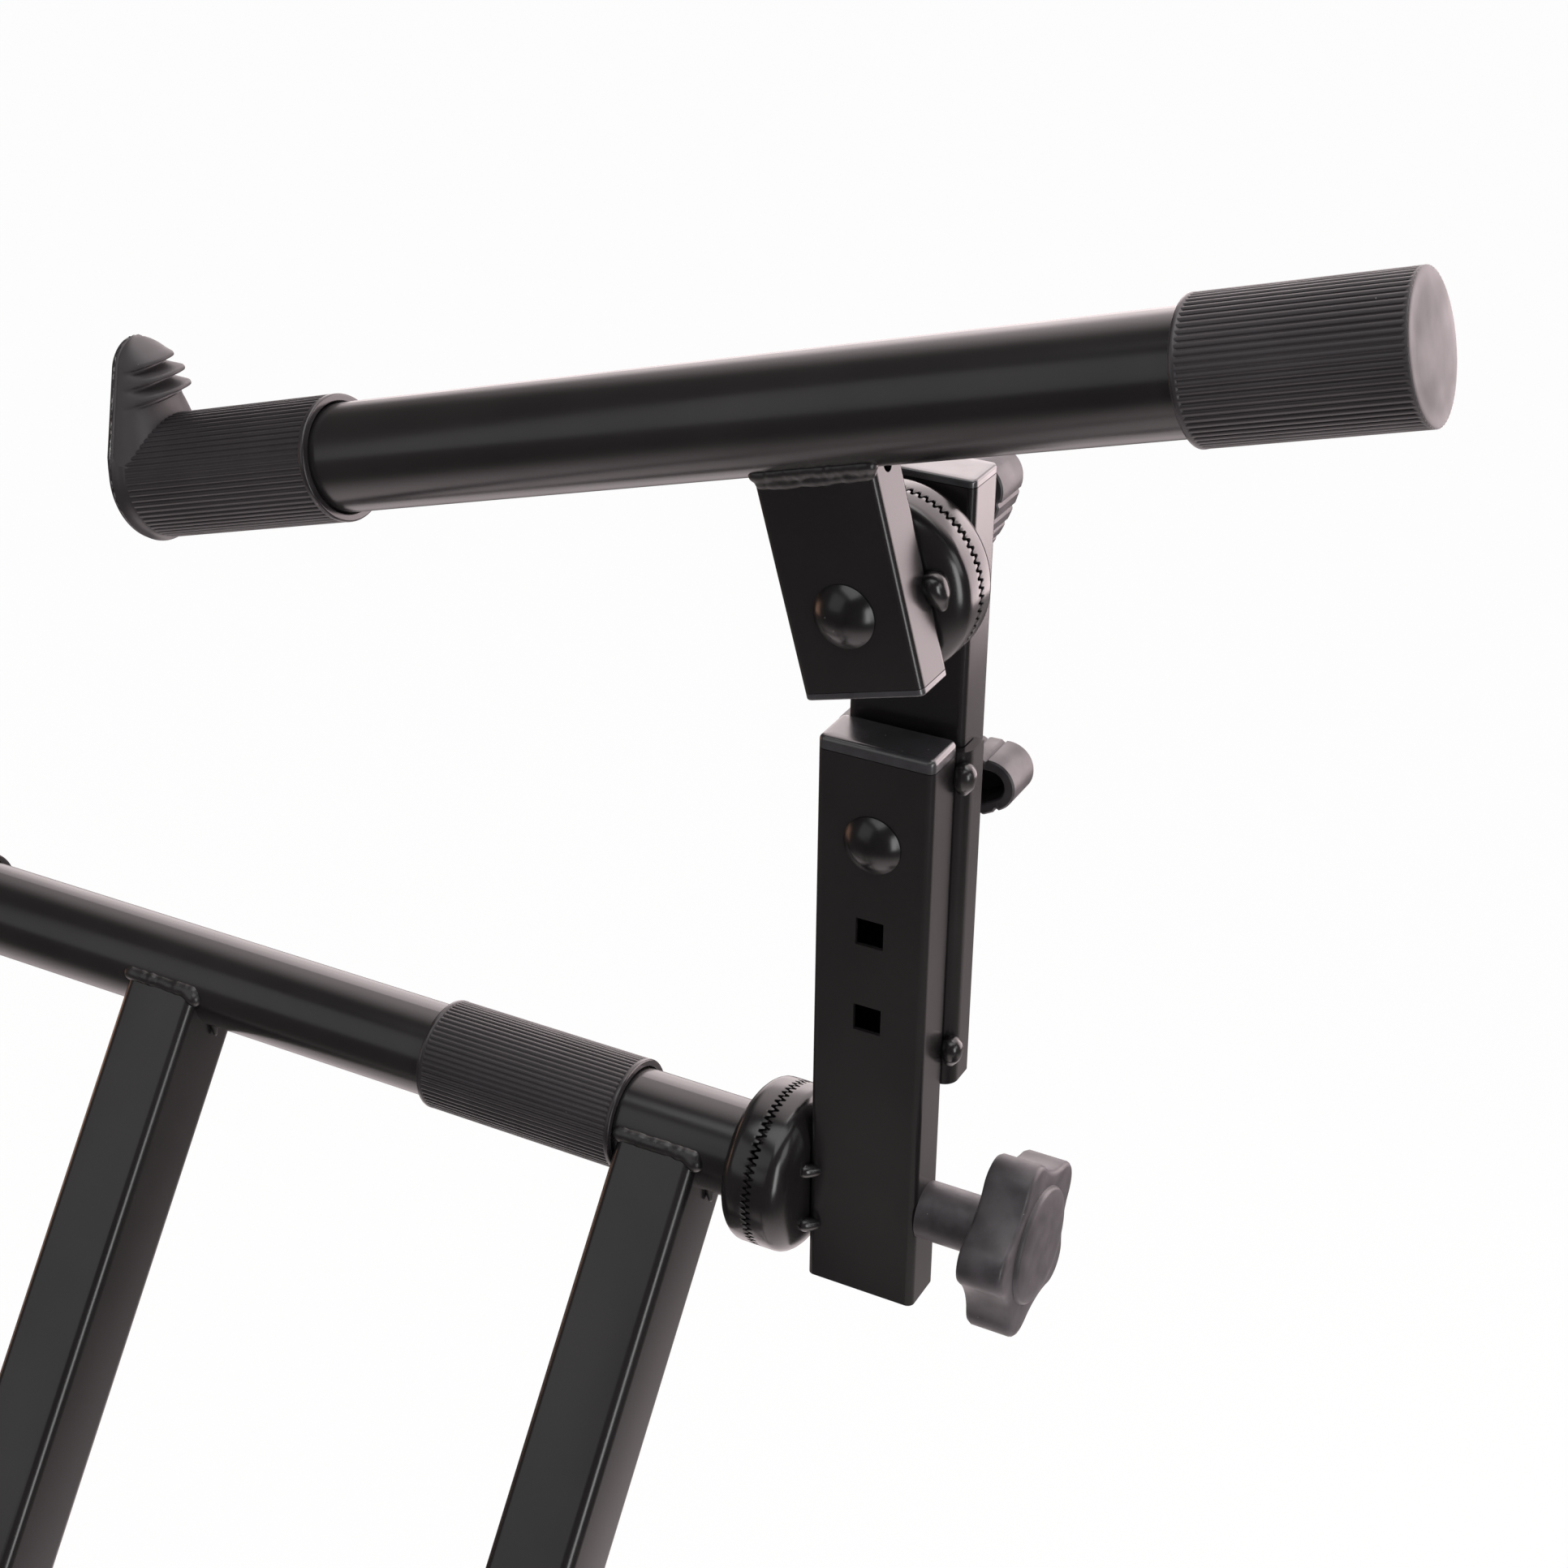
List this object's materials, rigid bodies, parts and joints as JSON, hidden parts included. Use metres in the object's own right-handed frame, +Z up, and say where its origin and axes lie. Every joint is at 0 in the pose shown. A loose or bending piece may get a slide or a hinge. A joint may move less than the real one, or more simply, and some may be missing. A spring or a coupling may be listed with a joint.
{
  "type": "two-tier keyboard stand",
  "caption": "Folding X-frame stand of black steel tube with a lower keyboard tier and sliding, tilting, swivelling upper arms locked by toothed clutches and hand knobs.",
  "frame": {"origin": "middle of the stand's footprint on the floor", "axes": "+Z up, +X to the player's right, +Y away from the player"},
  "size_m": [0.6906, 0.645, 1.1358],
  "materials": {
    "black_coat": "satin black powder coat",
    "black_plastic": "moulded matte black",
    "black_rubber": "ribbed matte black",
    "black_bolt": "gloss black"
  },
  "bodies": {
    "outer_frame": {"outer_top_tube": "black_coat", "outer_front_leg": "black_coat", "outer_rear_leg": "black_coat", "outer_foot_tube": "black_coat", "outer_foot_caps": "black_rubber", "outer_lock_cup": "black_coat", "left_grip_sleeve": "black_rubber", "left_lower_lip_cap": "black_rubber", "left_swivel_fixed_cup": "black_coat", "left_swivel_bolt": "black_bolt", "pivot_bolts": "black_bolt"},
    "inner_frame": {"inner_top_tube": "black_coat", "inner_front_leg": "black_coat", "inner_rear_leg": "black_coat", "inner_foot_tube": "black_coat", "inner_foot_caps": "black_rubber", "inner_lock_cup": "black_coat", "right_grip_sleeve": "black_rubber", "right_lower_lip_cap": "black_rubber", "right_swivel_fixed_cup": "black_coat", "right_swivel_bolt": "black_bolt"},
    "lock_knob": {"lock_knob": "black_plastic"},
    "left_post": {"left_outer_post": "black_coat", "left_post_cap": "black_plastic", "left_guide_channel": "black_coat", "left_swivel_turning_cup": "black_coat", "left_knob_spacer": "black_plastic", "left_height_bolt": "black_bolt"},
    "left_inner_post": {"left_inner_post": "black_coat", "left_inner_post_cap": "black_plastic", "left_tilt_fixed_cup": "black_coat"},
    "left_arm": {"left_arm_tube": "black_coat", "left_arm_bracket": "black_coat", "left_bracket_plug": "black_plastic", "left_tilt_turning_cup": "black_coat", "left_tilt_bolt": "black_bolt", "left_arm_lip_cap": "black_rubber", "left_arm_rear_cap": "black_rubber"},
    "left_swivel_knob": {"left_swivel_knob": "black_plastic"},
    "left_height_knob": {"left_height_knob": "black_plastic"},
    "left_tilt_knob": {"left_tilt_knob": "black_plastic"},
    "right_post": {"right_outer_post": "black_coat", "right_post_cap": "black_plastic", "right_guide_channel": "black_coat", "right_swivel_turning_cup": "black_coat", "right_knob_spacer": "black_plastic", "right_height_bolt": "black_bolt"},
    "right_inner_post": {"right_inner_post": "black_coat", "right_inner_post_cap": "black_plastic", "right_tilt_fixed_cup": "black_coat"},
    "right_arm": {"right_arm_tube": "black_coat", "right_arm_bracket": "black_coat", "right_bracket_plug": "black_plastic", "right_tilt_turning_cup": "black_coat", "right_tilt_bolt": "black_bolt", "right_arm_lip_cap": "black_rubber", "right_arm_rear_cap": "black_rubber"},
    "right_swivel_knob": {"right_swivel_knob": "black_plastic"},
    "right_height_knob": {"right_height_knob": "black_plastic"},
    "right_tilt_knob": {"right_tilt_knob": "black_plastic"}
  },
  "joints": [
    {"name": "x_fold", "type": "hinge", "parent": "outer_frame", "child": "inner_frame", "pos_m": [0, -0.02354, 0.40281], "axis": [0, 1, 0], "range_deg": [-35, 25]},
    {"name": "lock_knob_turn", "type": "hinge", "parent": "outer_frame", "child": "lock_knob", "pos_m": [0, -0.15729, 0.40281], "axis": [0, 1, 0], "continuous": true},
    {"name": "left_tier_swivel", "type": "hinge", "parent": "outer_frame", "child": "left_post", "pos_m": [-0.2922, 0.16071, 0.78362], "axis": [0, 1, 0], "range_deg": [-45, 45]},
    {"name": "left_height_slide", "type": "slide", "parent": "left_post", "child": "left_inner_post", "axis": [0, 0, 1], "range_m": [0, 0.065]},
    {"name": "left_arm_tilt", "type": "hinge", "parent": "left_inner_post", "child": "left_arm", "pos_m": [-0.26831, 0.16071, 1.01182], "axis": [1, 0, 0], "range_deg": [-30, 30]},
    {"name": "left_swivel_knob_turn", "type": "hinge", "parent": "outer_frame", "child": "left_swivel_knob", "pos_m": [-0.2922, 0.21371, 0.78362], "axis": [0, 1, 0], "continuous": true},
    {"name": "left_height_knob_turn", "type": "hinge", "parent": "left_post", "child": "left_height_knob", "pos_m": [-0.3372, 0.16071, 0.92362], "axis": [1, 0, 0], "continuous": true},
    {"name": "left_tilt_knob_turn", "type": "hinge", "parent": "left_arm", "child": "left_tilt_knob", "pos_m": [-0.3372, 0.16071, 1.01182], "axis": [1, 0, 0], "continuous": true},
    {"name": "right_tier_swivel", "type": "hinge", "parent": "inner_frame", "child": "right_post", "pos_m": [0.2922, 0.16071, 0.78362], "axis": [0, -1, 0], "range_deg": [-45, 45]},
    {"name": "right_height_slide", "type": "slide", "parent": "right_post", "child": "right_inner_post", "axis": [0, 0, 1], "range_m": [0, 0.065]},
    {"name": "right_arm_tilt", "type": "hinge", "parent": "right_inner_post", "child": "right_arm", "pos_m": [0.26831, 0.16071, 1.01182], "axis": [1, 0, 0], "range_deg": [-30, 30]},
    {"name": "right_swivel_knob_turn", "type": "hinge", "parent": "inner_frame", "child": "right_swivel_knob", "pos_m": [0.2922, 0.21371, 0.78362], "axis": [0, 1, 0], "continuous": true},
    {"name": "right_height_knob_turn", "type": "hinge", "parent": "right_post", "child": "right_height_knob", "pos_m": [0.3372, 0.16071, 0.92362], "axis": [1, 0, 0], "continuous": true},
    {"name": "right_tilt_knob_turn", "type": "hinge", "parent": "right_arm", "child": "right_tilt_knob", "pos_m": [0.3372, 0.16071, 1.01182], "axis": [1, 0, 0], "continuous": true}
  ]
}
